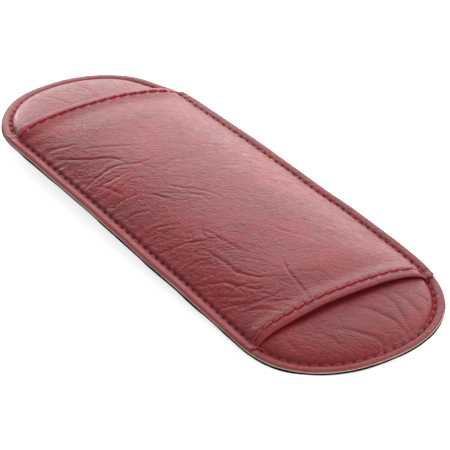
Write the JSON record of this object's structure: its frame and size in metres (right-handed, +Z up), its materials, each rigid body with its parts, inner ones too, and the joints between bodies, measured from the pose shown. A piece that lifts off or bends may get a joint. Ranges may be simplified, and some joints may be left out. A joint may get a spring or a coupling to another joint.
{
  "type": "padded leather strap sleeve",
  "caption": "Long padded leather sleeve with rounded end tongues and a sewn-on cover panel open at both ends, worn on a carrying strap to cushion the shoulder.",
  "frame": {"origin": "centre of the underside, on the surface that the pad lies on", "axes": "+X along the strap and the pad's length, +Y across it, +Z up from the backing through the leather"},
  "size_m": [0.203, 0.072, 0.0097],
  "materials": {
    "leather": "soft creased burgundy leather, semi-matt",
    "backing": "black napped non-slip backing, matt",
    "interlining": "pale pressed felt, matt",
    "foam": "open-cell foam, matt",
    "thread": "twisted red sewing thread"
  },
  "bodies": {
    "root": {"backing_panel": "backing", "interlining_sheet": "interlining", "pad_core": "foam", "base_leather": "leather", "cover_leather": "leather", "perimeter_needle_thread": "thread", "perimeter_bobbin_thread": "thread", "left_hem_needle_thread": "thread", "left_hem_bobbin_thread": "thread", "right_hem_needle_thread": "thread", "right_hem_bobbin_thread": "thread"}
  },
  "joints": []
}
